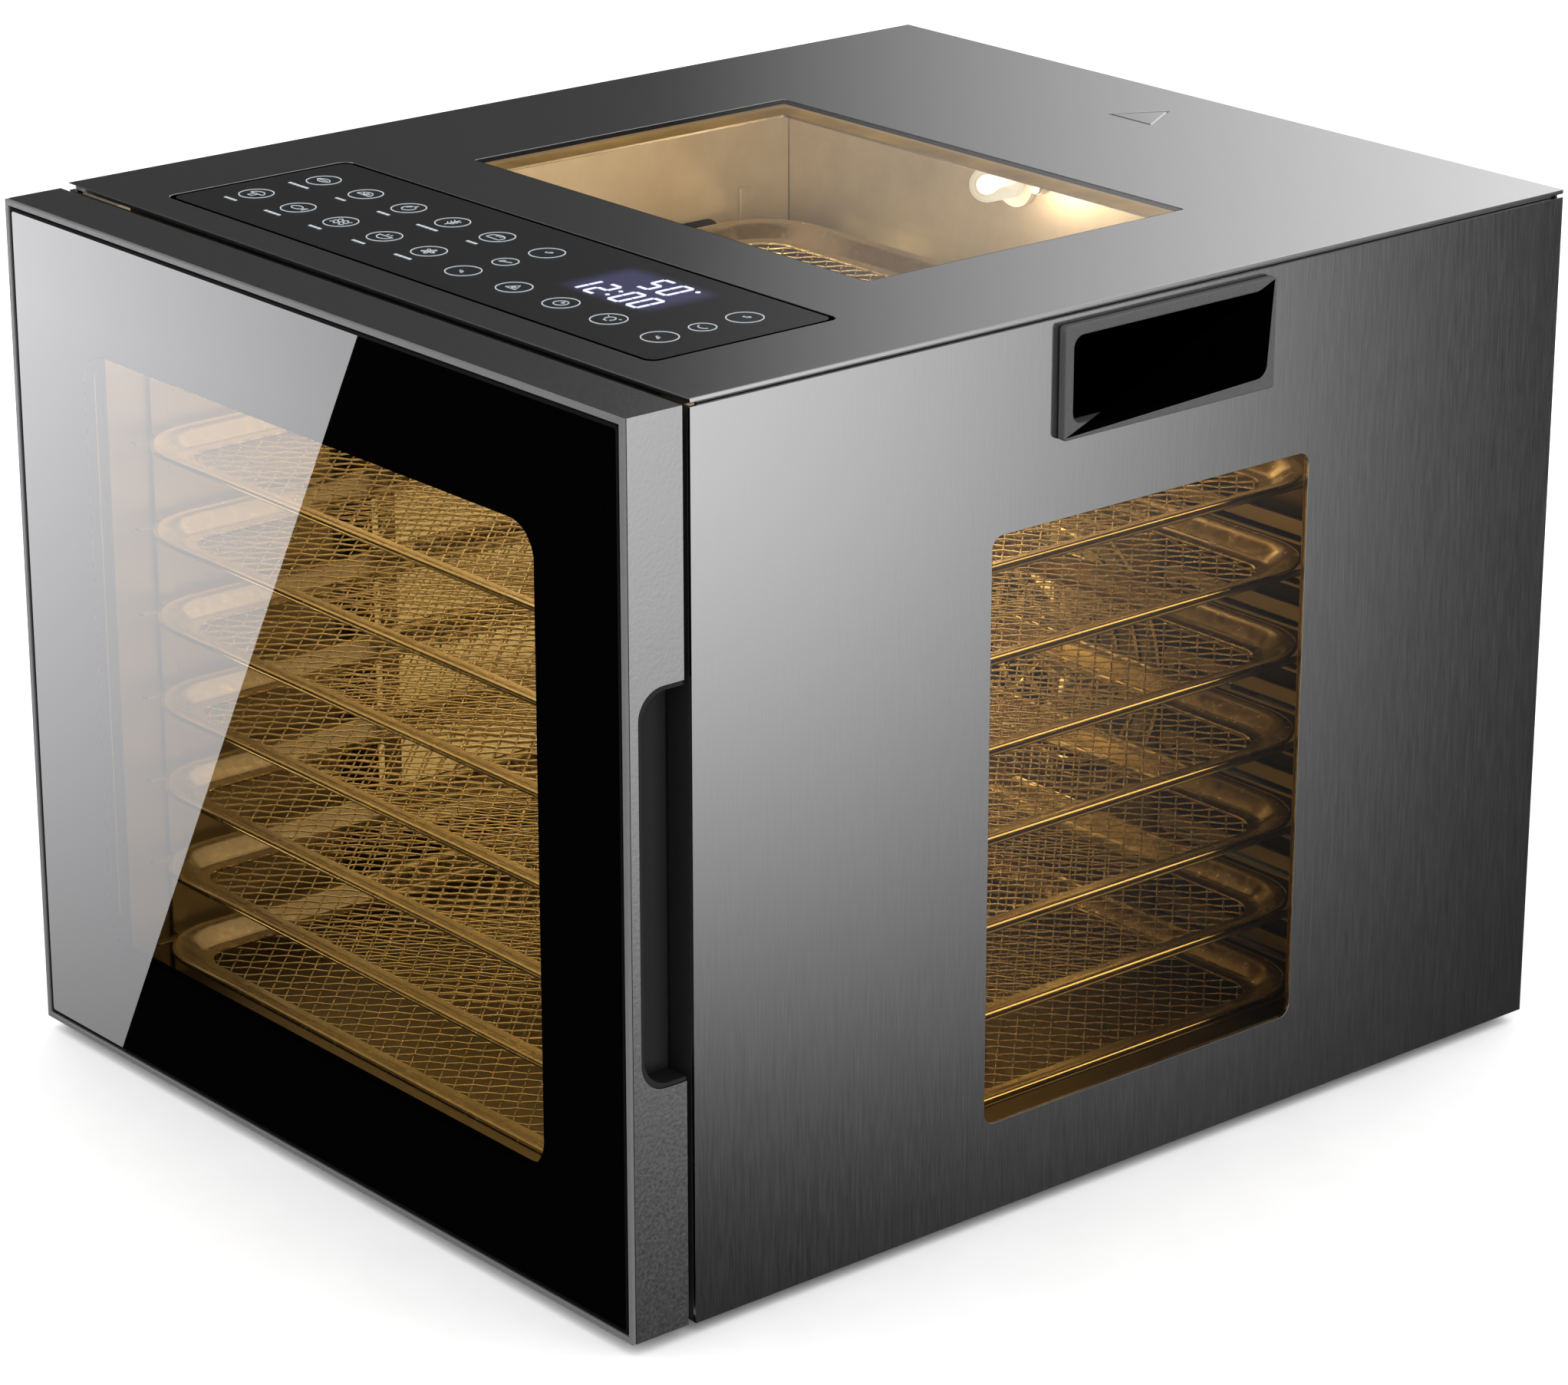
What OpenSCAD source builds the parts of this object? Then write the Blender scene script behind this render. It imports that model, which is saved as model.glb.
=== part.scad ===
// Countertop food dehydrator with a hinged glass door, three windows and eight sliding mesh trays.
// Millimetres. +X is to the right seen from the front, the door faces -Y, +Z is up.
// The origin is on the floor, under the centre of the overall box.

/* [Cabinet] */
// Width over the two side panels
body_w = 345; // [300:1:400]
// Depth of the cabinet behind the door
body_d = 393; // [330:1:450]
// Height of the cabinet without its feet
body_h = 311; // [280:1:360]
// Height of the rubber feet
foot_h = 4; // [3:0.5:12]
// Thickness of the outer sheet metal
sheet = 1.2; // [0.8:0.1:2]
// Thickness of the chamber lining
liner_t = 1; // [0.6:0.1:2]
// Half width of the drying chamber
chamber_x = 157; // [130:1:165]
// Distance from the cabinet front to the rear wall of the chamber
chamber_d = 318; // [280:1:340]

/* [Door] */
// Thickness of the closed door
door_t = 23; // [16:0.5:35]
// Gap between the door and the cabinet
door_gap = 3; // [2:0.1:6]
// Thickness of the door glass
glass_t = 4; // [3:0.5:6]
// Height of the grip recess in the free edge
grip_h = 134.9; // [90:1:180]
// Height of the middle of the grip recess
grip_z = 158; // [120:1:200]

/* [Windows] */
// Length of each side window
side_win_d = 145; // [80:1:200]
// Height of each side window
side_win_h = 207.8; // [120:1:230]
// Middle of the side windows, front to back
side_win_y = 14; // [-30:1:40]
// Middle of the side windows above the floor
side_win_z = 140.3; // [120:1:170]
// Width of the window in the top
top_win_w = 213; // [120:1:260]
// Depth of the window in the top
top_win_d = 144.5; // [80:1:180]
// Middle of the top window, front to back
top_win_y = 17.2; // [-20:1:40]

/* [Trays] */
// Number of trays
tray_n = 8; // [4:1:8]
// Height from one tray to the next
tray_pitch = 32; // [26:0.5:40]
// Width of a tray
tray_w = 304; // [260:1:306]
// Depth of a tray
tray_d = 303; // [260:1:306]
// Height of the rim of the lowest tray
tray_z = 33.5; // [30:0.5:40]
// Corner radius of a tray
tray_r = 28; // [15:1:40]

/* [Controls] */
// Width of the control glass
panel_w = 268; // [200:1:300]
// Depth of the control glass
panel_d = 76.5; // [50:1:90]
// Spacing of the preset keys
key_pitch = 25.2; // [20:0.1:28]
// Radius of a preset key's ring
key_r = 6.3; // [4:0.1:9]

/* [Fan] */
// Height of the fan axis
fan_z = 118; // [90:1:160]
// Radius of the fan wheel
fan_r = 48; // [30:1:60]

/* [Hidden] */
$fn = 64;
eps = 0.01;
overall_d = body_d + door_gap + door_t;
x_out = body_w / 2;
y_door = -overall_d / 2;
y_door_back = y_door + door_t;
y_front = y_door_back + door_gap;
y_back = overall_d / 2;
z_low = foot_h;
z_top = foot_h + body_h;
y_cover = y_back - 1.6;
y_wall = y_front + chamber_d;
z_ceiling = z_top - 6;
z_floor = 13;
post_y = [y_front + 19, side_win_y - 80, y_wall - 26];
z_housing = z_top - 16;
mouth_x = 155.5;
mouth_z0 = 19.5;
mouth_z1 = 298;
hinge_x = -166;
hinge_y = y_door + 13.5;
door_z0 = 4.5;
door_z1 = z_top - 1.5;
door_mid = (door_z0 + door_z1) / 2;
bracket_z = door_z1 - 6;
tray_y = y_front + 3 + tray_d / 2;
panel_y = y_front + 54.2;
grip_y0 = y_door + 4.7;
lamp_x = -26;
lamp_z = 293;

// ---------- helpers ----------
// A box between two corners.
module slab(x0, x1, y0, y1, z0, z1)
{
    translate([x0, y0, z0])
        cube([x1 - x0, y1 - y0, z1 - z0]);
}

// A rectangle with round corners, centred.
module rrect(w, h, r)
{
    square([w - 2 * r, h], center = true);
    square([w, h - 2 * r], center = true);
    for (sx = [-1, 1], sy = [-1, 1])
        translate([sx * (w / 2 - r), sy * (h / 2 - r)])
            circle(r);
}

// A rounded block along X, given in Y and Z.
module block_x(cy, cz, w, h, r, x0, x1)
{
    translate([x0, cy, cz])
        rotate([90, 0, 90])
            linear_extrude(x1 - x0)
                rrect(w, h, r);
}

// A rounded block along Y, given in X and Z.
module block_y(cx, cz, w, h, r, y0, y1)
{
    translate([cx, y1, cz])
        rotate([90, 0, 0])
            linear_extrude(y1 - y0)
                rrect(w, h, r);
}

// A rounded block along Z, given in X and Y.
module block_z(cx, cy, w, d, r, z0, z1)
{
    translate([cx, cy, z0])
        linear_extrude(z1 - z0)
            rrect(w, d, r);
}

// A round bar along Y.
module bar_y(cx, cz, r, y0, y1)
{
    translate([cx, y0, cz])
        rotate([-90, 0, 0])
            cylinder(r = r, h = y1 - y0);
}

// ---------- outer cabinet ----------
module base_pan()
{
    color([0.12, 0.12, 0.13])
        difference()
        {
            slab(-x_out + 1.5, x_out - 1.5, y_front + 0.2, y_cover - 1.4, z_low, z_low + sheet);
            for (sx = [-1, 1], sy = [-1, 1])
                translate([sx * 145, sy * 172, z_low - 1])
                    cylinder(r = 1.6, h = 4);
            for (i = [-5:5])
                block_z(i * 12, 160, 4, 50, 1.9, z_low - 1, z_low + 3);
        }
}

module side_panel()
{
    color([0.36, 0.36, 0.37])
        difference()
        {
            union()
            {
                slab(x_out - sheet, x_out, y_front, y_back, z_low, z_top - 2.7);
                slab(x_out - 14, x_out - sheet, y_cover - 2.4, y_cover - sheet, 14, z_top - 12);
            }
            block_x(side_win_y, side_win_z, side_win_d, side_win_h, 4.5, x_out - 5, x_out + 1);
            block_x(17, 291.2, 91, 33, 2, x_out - 5, x_out + 1);
            for (z = [30, 158, 286])
                bar_y(x_out - 8, z, 1.6, y_cover - 4, y_cover);
        }
}

module side_panel_right()
{
    side_panel();
}

module side_panel_left()
{
    mirror([1, 0, 0])
        side_panel();
}

module top_cover()
{
    color([0.28, 0.28, 0.29])
        difference()
        {
            union()
            {
                slab(-x_out, x_out, y_front, y_back, z_top - 1.5, z_top);
                for (s = [-1, 1])
                    slab(s * (x_out - 2.4) - 0.6, s * (x_out - 2.4) + 0.6, y_front + 4,
                        y_cover - 2.6, z_top - 7, z_top - 1.5 + eps);
            }
            block_z(0, top_win_y, top_win_w, top_win_d, 1, z_top - 3, z_top + 1);
            block_z(0, panel_y, panel_w + 1, panel_d + 1, 4, z_top - 3, z_top + 1);
            translate([0, 172.5, z_top - 0.4])
                rotate([0, 0, 90])
                    linear_extrude(1)
                        difference()
                        {
                            circle(r = 14, $fn = 3);
                            circle(r = 12, $fn = 3);
                        }
        }
}

module rear_cover()
{
    color([0.14, 0.14, 0.15])
        difference()
        {
            slab(-x_out + 1.4, x_out - 1.4, y_cover - sheet, y_cover, z_low + 0.2, z_top - 1.7);
            for (i = [-6:6])
                block_y(0, fan_z + i * 9, 2 * sqrt(64 * 64 - i * i * 81), 4, 1.9,
                    y_cover - 4, y_cover + 2);
            for (i = [-7:7])
                block_y(i * 14, 270, 4, 30, 1.9, y_cover - 4, y_cover + 2);
            block_y(-130, 45, 31, 25, 2, y_cover - 4, y_cover + 2);
            for (s = [-1, 1], z = [30, 158, 286])
                bar_y(s * (x_out - 8), z, 1.6, y_cover - 4, y_cover + 2);
        }
}

module front_frame()
{
    color([0.1, 0.1, 0.11])
        difference()
        {
            slab(-x_out + 1.4, x_out - 1.4, y_front, y_front + sheet, z_low + 1.4, z_top - 2.8);
            slab(-mouth_x, mouth_x, y_front - 1, y_front + 3, mouth_z0, mouth_z1);
            for (s = [-1, 1])
                slab(hinge_x - 4.6, hinge_x + 4.6, y_front - 1, y_front + 3,
                    door_mid + s * (bracket_z + 1 - door_mid) - 1.4,
                    door_mid + s * (bracket_z + 1 - door_mid) + 1.4);
        }
}

// ---------- chamber ----------
module liner_side()
{
    color([0.72, 0.68, 0.6])
        difference()
        {
            slab(chamber_x, chamber_x + liner_t, y_front + 1.4, y_wall - 0.2, z_floor - 1,
                z_ceiling - 1.2);
            block_x(side_win_y - 7, side_win_z, side_win_d + 42, side_win_h + 28, 8,
                chamber_x - 1, chamber_x + 3);
        }
}

module liner_right()
{
    liner_side();
}

module liner_left()
{
    mirror([1, 0, 0])
        liner_side();
}

module liner_ceiling()
{
    color([0.72, 0.68, 0.6])
        difference()
        {
            slab(-chamber_x - liner_t, chamber_x + liner_t, -82, y_wall + 1.2, z_ceiling - liner_t,
                z_ceiling);
            block_z(0, top_win_y, top_win_w + 1, top_win_d + 1, 1.5, z_ceiling - 3, z_ceiling + 2);
        }
}

module liner_floor()
{
    color([0.5, 0.47, 0.42])
        slab(-chamber_x + 0.2, chamber_x - 0.2, y_front + 1.4, y_wall - 0.2, z_floor - liner_t,
            z_floor);
}

// Rear wall of the chamber: raised pads with an air slot in each, and the fan's opening.
module fan_baffle()
{
    color([0.6, 0.57, 0.5])
        difference()
        {
            union()
            {
                slab(-chamber_x + 0.2, chamber_x - 0.2, y_wall, y_wall + sheet, z_floor + 0.2,
                    z_ceiling - liner_t - 0.2);
                for (s = [-1, 1], i = [0:10])
                    block_y(s * 96.5, 34 + i * 16, 73, 9, 4.4, y_wall - 3, y_wall + eps);
            }
            for (s = [-1, 1], i = [0:10])
                block_y(s * 96.5, 31.8 + i * 16, 62, 2.4, 1.1, y_wall - 5, y_wall + 3);
            bar_y(0, fan_z, fan_r + 3, y_wall - 5, y_wall + 3);
            bar_y(lamp_x, lamp_z, 5, y_wall - 5, y_wall + 3);
            for (s = [-1, 1])
                bar_y(lamp_x + s * 13, lamp_z, 1.6, y_wall - 5, y_wall + 3);
        }
}

module fan_guard()
{
    color([0.75, 0.75, 0.74])
        translate([0, y_wall - 0.1, fan_z])
            rotate([90, 0, 0])
                linear_extrude(1.6)
                {
                    for (i = [0:4])
                        difference()
                        {
                            circle(r = 13 + i * 11);
                            circle(r = 11.4 + i * 11);
                        }
                    for (a = [0:45:315])
                        rotate(a)
                            translate([11.6, -0.8])
                                square([44.6, 1.6]);
                }
}

// Thin rails that the trays slide on, eight on each side, each with three lugs that reach the uprights.
module tray_rails()
{
    color([0.8, 0.78, 0.72])
        for (m = [0, 1])
            mirror([m, 0, 0])
                for (i = [0:tray_n - 1])
                {
                    z = tray_z + i * tray_pitch - 3.2;
                    slab(148.5, 152.2, y_front + 8, y_wall - 19, z, z + 1);
                    for (y = post_y)
                        slab(151, chamber_x - 1.8, y, y + 7, z, z + 1);
                }
}

// Uprights behind the rails, three on each side, just inside the lining.
module tray_posts()
{
    color([0.8, 0.78, 0.72])
        for (m = [0, 1])
            mirror([m, 0, 0])
                for (y = post_y)
                    slab(chamber_x - 1.8, chamber_x - 0.1, y, y + 7, z_floor + 2, 268);
}

// ---------- windows ----------
module top_window_glass()
{
    color([0.85, 0.8, 0.65, 0.35])
        union()
        {
            block_z(0, top_win_y, top_win_w + 19, top_win_d + 19, 3, z_ceiling + 0.3,
                z_top - 1.7);
            block_z(0, top_win_y, top_win_w - 0.8, top_win_d - 0.8, 0.8, z_top - 1.7 - eps,
                z_top - 0.1);
        }
}

module top_window_seal()
{
    color([0.05, 0.05, 0.05])
        difference()
        {
            block_z(0, top_win_y, top_win_w + 24, top_win_d + 24, 4, z_ceiling + 0.1,
                z_top - 1.6);
            block_z(0, top_win_y, top_win_w + 19.4, top_win_d + 19.4, 3, z_ceiling - 1,
                z_top);
        }
}

module side_window_glass()
{
    color([0.85, 0.8, 0.65, 0.35])
        union()
        {
            block_x(side_win_y, side_win_z, side_win_d + 16, side_win_h + 15.6, 6,
                x_out - 4.6, x_out - sheet - 0.1);
            block_x(side_win_y, side_win_z, side_win_d - 0.8, side_win_h - 0.8, 4.1,
                x_out - sheet - 0.1 - eps, x_out - 0.2);
        }
}

module side_window_glass_right()
{
    side_window_glass();
}

module side_window_glass_left()
{
    mirror([1, 0, 0])
        side_window_glass();
}

module side_window_seals()
{
    color([0.05, 0.05, 0.05])
        for (m = [0, 1])
            mirror([m, 0, 0])
                difference()
                {
                    block_x(side_win_y, side_win_z, side_win_d + 21, side_win_h + 20.6, 7,
                        x_out - 4.8, x_out - sheet - 0.1);
                    block_x(side_win_y, side_win_z, side_win_d + 16.4, side_win_h + 16, 6,
                        x_out - 6, x_out);
                }
}

// ---------- carrying pockets ----------
module handle_pocket()
{
    color([0.25, 0.25, 0.26])
        difference()
        {
            union()
            {
                block_x(17, 290.8, 96, 38.5, 1.5, x_out + 0.1, x_out + 3.5);
                block_x(17, 291.2, 90.5, 32.4, 1.5, chamber_x + 1.3, x_out + 0.2);
            }
            block_x(16.8, 291.4, 87.5, 29.4, 4, chamber_x + 2.8, x_out + 6);
        }
}

module handle_pocket_right()
{
    handle_pocket();
}

module handle_pocket_left()
{
    mirror([1, 0, 0])
        handle_pocket();
}

// ---------- controls ----------
module control_glass()
{
    color([0.03, 0.03, 0.035])
        block_z(0, panel_y, panel_w, panel_d, 3.5, z_top - 3.6, z_top - 0.15);
}

module control_housing()
{
    color([0.07, 0.07, 0.07])
        difference()
        {
            block_z(0, panel_y, 296, 92, 3, z_housing, z_top - 1.7);
            block_z(0, panel_y, 293, 89, 2, z_housing + 1.5, z_top);
        }
}

module control_board()
{
    color([0.05, 0.25, 0.12])
        union()
        {
            block_z(0, panel_y, 250, 62, 2, z_housing + 5, z_housing + 6.6);
            for (sx = [-1, 1], sy = [-1, 1])
                translate([sx * 118, panel_y + sy * 25, z_housing + 1.5])
                    cylinder(r = 3, h = 3.6);
            block_z(65, panel_y + 10, 52, 36, 1, z_housing + 6.5, z_top - 3.8);
        }
}

// A ring with a small sign inside.
module key_ring(r)
{
    difference()
    {
        circle(r = r);
        circle(r = r - 0.55);
    }
}

module key_marks()
{
    color([0.85, 0.9, 1])
        translate([0, y_front, z_top - 0.15])
            linear_extrude(0.15)
            {
                for (i = [0:4], j = [0, 1])
                    translate([-117.2 + i * key_pitch, 41.8 + j * 28.6])
                    {
                        key_ring(key_r);
                        square([5.4, 0.7], center = true);
                        translate([0, 1.8])
                            square([3, 0.7], center = true);
                        translate([0, -1.8])
                            square([3, 0.7], center = true);
                        translate([0, -10.8])
                            square([11, 1], center = true);
                    }
                for (i = [0, 1])
                {
                    for (s = [-1, 1])
                        translate([10.8 + i * 103, 53.1 + s * 17.4])
                        {
                            key_ring(key_r);
                            rotate(s * 90)
                                circle(r = 1.8, $fn = 3);
                        }
                    translate([10.8 + i * 103, 53.1])
                    {
                        key_ring(4.6);
                        square([3.6, 0.7], center = true);
                    }
                }
                for (i = [0:2])
                    translate([37.7 + i * 24.8, 36.2])
                    {
                        key_ring(key_r);
                        difference()
                        {
                            circle(r = 2.8);
                            circle(r = 2.1);
                        }
                    }
            }
}

// One seven-segment figure, w wide; s lists which segments are lit.
module figure(s, w)
{
    t = 1.3;
    h = 2 * w;
    g = t / 2 + 0.3;
    for (k = [0:2])
        if (s[k])
            translate([g, (h - t) * k / 2])
                square([w - 2 * g, t]);
    for (k = [0:1], m = [0:1])
        if (s[3 + 2 * k + m])
            translate([(w - t) * m, g + (h - t) * k / 2])
                square([t, (h - t) / 2 - 2 * g + t]);
}

// Two rows of figures: a temperature and a time.
module display_digits()
{
    one = [false, false, false, false, true, false, true];
    two = [true, true, true, true, false, false, true];
    five = [true, true, true, false, true, true, false];
    nil = [true, false, true, true, true, true, true];
    color([0.8, 0.85, 1])
        translate([0, y_front, z_top - 0.15])
            linear_extrude(0.15)
            {
                translate([62, 67])
                    figure(five, 6.4);
                translate([71.5, 67])
                    figure(nil, 6.4);
                translate([81, 78])
                    circle(r = 0.9);
                translate([45, 50.5])
                    figure(one, 6.4);
                translate([54.5, 50.5])
                    figure(two, 6.4);
                translate([64.1, 54])
                    circle(r = 0.8);
                translate([64.1, 59.5])
                    circle(r = 0.8);
                translate([67.3, 50.5])
                    figure(nil, 6.4);
                translate([76.8, 50.5])
                    figure(nil, 6.4);
            }
}

// ---------- lamp, heater, fan drive ----------
module lamp_base()
{
    color([0.9, 0.88, 0.8])
        difference()
        {
            union()
            {
                bar_y(lamp_x, lamp_z, 10.5, y_wall - 2.5, y_wall - 0.1);
                block_y(lamp_x, lamp_z, 33, 7, 3.4, y_wall - 2.5, y_wall - 0.1);
                bar_y(lamp_x, lamp_z, 4.8, y_wall - 3, y_wall + 12);
            }
            for (s = [-1, 1])
                bar_y(lamp_x + s * 13, lamp_z, 1.6, y_wall - 5, y_wall + 3);
        }
}

module lamp_bulb()
{
    color([1, 0.95, 0.8, 0.8])
        translate([lamp_x, y_wall - 3.1, lamp_z])
            rotate([90, 0, 0])
                rotate_extrude()
                {
                    square([6.7, 17]);
                    square([4.7, 19]);
                    translate([4.7, 17])
                        intersection()
                        {
                            circle(r = 2);
                            square([3, 3]);
                        }
                }
}

module heater_coil()
{
    color([0.45, 0.4, 0.38])
        translate([0, y_wall + 14, fan_z])
            rotate([90, 0, 0])
            {
                rotate_extrude()
                    translate([fan_r + 14, 0])
                        circle(r = 3.2);
                for (s = [-1, 1])
                    translate([s * 16, fan_r + 12.5, 0])
                        rotate([-90, 0, 0])
                            cylinder(r = 3, h = 22);
            }
}

module fan_motor()
{
    color([0.3, 0.3, 0.32])
        difference()
        {
            union()
            {
                bar_y(0, fan_z, 28, y_wall + 40, y_wall + 62);
                bar_y(0, fan_z, 9, y_wall + 37.5, y_wall + 40 + eps);
            }
            bar_y(0, fan_z, 2.55, y_wall + 30, y_wall + 54);
        }
}

module motor_bracket()
{
    color([0.55, 0.55, 0.56])
        union()
        {
            slab(-92, 92, y_wall + 62.1, y_wall + 63.6, fan_z - 12, fan_z + 12);
            for (s = [-1, 1])
                slab(s * 91.25 - 0.75, s * 91.25 + 0.75, y_wall + 2.6, y_wall + 63.6, fan_z - 12,
                    fan_z + 12);
            for (s = [-1, 1])
                slab(s * 97 - 6.5, s * 97 + 6.5, y_wall + 1.3, y_wall + 2.7, fan_z - 12, fan_z + 12);
        }
}

module fan_wheel()
{
    color([0.62, 0.62, 0.63])
        difference()
        {
            union()
            {
                bar_y(0, fan_z, fan_r, y_wall + 30, y_wall + 31.5);
                bar_y(0, fan_z, 9, y_wall + 14, y_wall + 31);
                for (a = [0:30:330])
                    translate([0, 0, fan_z])
                        rotate([0, a, 0])
                            slab(8, fan_r - 2, y_wall + 12, y_wall + 30 + eps, -0.7, 0.7);
            }
            bar_y(0, fan_z, 2.5, y_wall, y_wall + 40);
        }
}

module fan_shaft()
{
    color([0.75, 0.75, 0.76])
        bar_y(0, fan_z, 2.5, y_wall + 11, y_wall + 53);
}

// Recessed inlet with three blades.
module power_inlet()
{
    color([0.06, 0.06, 0.06])
        difference()
        {
            union()
            {
                block_y(-130, 45, 36, 30, 3, y_cover + 0.05, y_cover + 1.6);
                block_y(-130, 45, 30, 24, 2, y_cover - 19, y_cover + 0.1);
            }
            difference()
            {
                block_y(-130, 45, 25, 19, 3, y_cover - 16.5, y_cover + 3);
                for (x = [-137, -130, -123])
                    slab(x - 1, x + 1, y_cover - 17, y_cover - 7, 43 + abs(x + 130) * 0.2,
                        47 + abs(x + 130) * 0.2);
            }
        }
}

module feet()
{
    color([0.04, 0.04, 0.04])
        for (sx = [-1, 1], sy = [-1, 1])
            translate([sx * 145, sy * 172, 0])
                difference()
                {
                    cylinder(r = 10, h = foot_h);
                    translate([0, 0, -1])
                        cylinder(r = 1.6, h = foot_h + 2);
                    translate([0, 0, -1])
                        cylinder(r = 3.4, h = 3);
                }
}

// The screw, head down at the origin, shank up.
module screw()
{
    cylinder(r = 3, h = 1.5);
    cylinder(r = 1.5, h = 7);
}

module screws()
{
    color([0.6, 0.6, 0.62])
    {
        for (sx = [-1, 1], sy = [-1, 1])
            translate([sx * 145, sy * 172, 0.4])
                screw();
        for (s = [-1, 1], z = [30, 158, 286])
            translate([s * (x_out - 8), y_cover + 1.55, z])
                rotate([90, 0, 0])
                    screw();
        for (s = [-1, 1])
            translate([lamp_x + s * 13, y_wall - 4.05, lamp_z])
                rotate([-90, 0, 0])
                    screw();
    }
}

// ---------- hinge ----------
// Upper bracket: a tongue out of the front frame with a pin through its end.
module hinge_bracket()
{
    translate([hinge_x, hinge_y, bracket_z])
        cylinder(r = 4.2, h = 2);
    slab(hinge_x - 4.2, hinge_x + 4.2, hinge_y, y_front + sheet + 2, bracket_z, bracket_z + 2);
    slab(hinge_x - 4.2, hinge_x + 4.2, y_front + sheet + 0.1, y_front + sheet + 2, bracket_z - 14,
        bracket_z + 1);
    translate([hinge_x, hinge_y, bracket_z - 4])
        cylinder(r = 2.5, h = 8.5);
}

module hinge_brackets()
{
    color([0.6, 0.6, 0.62])
        for (m = [0, 1])
            translate([0, 0, m * 2 * door_mid])
                mirror([0, 0, m])
                    union()
                        hinge_bracket();
}

// ---------- door ----------
module grip_cut(x0, x1, y0, grow)
{
    w = y_door_back + 12 - y0;
    block_x(y0 + w / 2, grip_z, w, grip_h + grow, 10, x0, x1);
}

module door_frame()
{
    color([0.33, 0.33, 0.34])
        difference()
        {
            slab(-x_out, x_out, y_door + 1.5, y_door_back, door_z0, door_z1);
            slab(-156, 156, y_door, y_door_back + 1, 19, 300);
            slab(-170.2, 170.2, y_door, y_door + 0.4 + glass_t, door_z0 + 2.3, door_z1 - 2.3);
            grip_cut(161.3, 170.3, y_door + 0.4 + glass_t - eps, 0);
            grip_cut(170.2, x_out + 1, grip_y0, 0);
            for (z = [58, 258])
                bar_y(168.9, z, 2.7, y_door_back - 3.2, y_door_back + 1);
            for (m = [0, 1])
                translate([0, 0, m * 2 * door_mid])
                    mirror([0, 0, m])
                    {
                        slab(-x_out - 1, -160, y_door + 0.4 + glass_t - eps, y_door_back + 1,
                            bracket_z - 0.4, bracket_z + 2.4);
                        translate([hinge_x, hinge_y, bracket_z - 4.5])
                            cylinder(r = 2.55, h = 9.4);
                    }
        }
}

module door_glass()
{
    color([0.02, 0.02, 0.02, 0.6])
        block_y(0, door_mid, 340, door_z1 - door_z0 - 5, 1.5, y_door + 0.3, y_door + 0.3 + glass_t);
}

module door_bezel()
{
    color([0.75, 0.75, 0.76])
        difference()
        {
            slab(-x_out, x_out, y_door, y_door + 1.4, door_z0, door_z1);
            slab(-170.4, 170.4, y_door - 1, y_door + 3, door_z0 + 2.1, door_z1 - 2.1);
        }
}

module door_grip()
{
    color([0.03, 0.03, 0.03])
        difference()
        {
            intersection()
            {
                grip_cut(161.5, x_out - 0.2, y_door + 0.4 + glass_t + 0.2, -0.4);
                slab(150, x_out, y_door, y_door_back - 0.2, 60, 260);
            }
            grip_cut(163, x_out + 1, y_door + 0.4 + glass_t + 1.6, -3.2);
            slab(170, x_out + 1, y_door, grip_y0 + 0.2, 60, 260);
        }
}

module door_gasket()
{
    color([0.05, 0.05, 0.05])
        difference()
        {
            block_y(0, door_mid - 0.3, 320.6, 287, 3, y_door_back, y_door_back + 2.6);
            block_y(0, door_mid - 0.3, 312.6, 279.4, 2, y_door_back - 1, y_door_back + 4);
        }
}

module door_magnets()
{
    color([0.7, 0.7, 0.7])
        for (z = [58, 258])
            bar_y(168.9, z, 2.6, y_door_back - 3, y_door_back - 0.1);
}

// ---------- trays ----------
// Section of the rim; x is measured outwards, 0 is the outer edge.
module rim_section()
{
    polygon([[0, 0], [-3, 0], [-11, -5.5], [-15, -5.5], [-15, -6.5], [-11.3, -6.5],
        [-3.3, -1], [-1, -1], [-1, -1.9], [0, -1.9]]);
}

module tray_rim(i)
{
    hx = tray_w / 2 - tray_r;
    hy = tray_d / 2 - tray_r;
    color([0.82, 0.8, 0.75])
        translate([0, tray_y, tray_z + (i - 1) * tray_pitch])
            union()
                for (k = [0:3])
                    rotate([0, 0, 90 * k])
                    {
                        translate([k % 2 == 0 ? hx : hy, k % 2 == 0 ? hy : hx, 0])
                            rotate_extrude(angle = 90)
                                translate([tray_r, 0])
                                    rim_section();
                        translate([k % 2 == 0 ? hx + tray_r : hy + tray_r,
                            k % 2 == 0 ? hy : hx, 0])
                            rotate([90, 0, 0])
                                linear_extrude(k % 2 == 0 ? 2 * hy : 2 * hx)
                                    rim_section();
                    }
}

// Mesh floor: strips both ways in a thin border.
module tray_mesh(i)
{
    w = tray_w - 24;
    d = tray_d - 24;
    n = 14;
    px = (w - 2) / n;
    py = (d - 2) / n;
    color([0.8, 0.78, 0.7])
        translate([0, tray_y, tray_z + (i - 1) * tray_pitch - 7.6])
            linear_extrude(1)
                difference()
                {
                    rrect(w, d, tray_r - 12);
                    for (a = [0:n - 1], b = [0:n - 1])
                        if (!((a == 0 || a == n - 1) && (b == 0 || b == n - 1)))
                            translate([-w / 2 + 2 + a * px, -d / 2 + 2 + b * py])
                                square([px - 2, py - 2]);
                }
}

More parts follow.
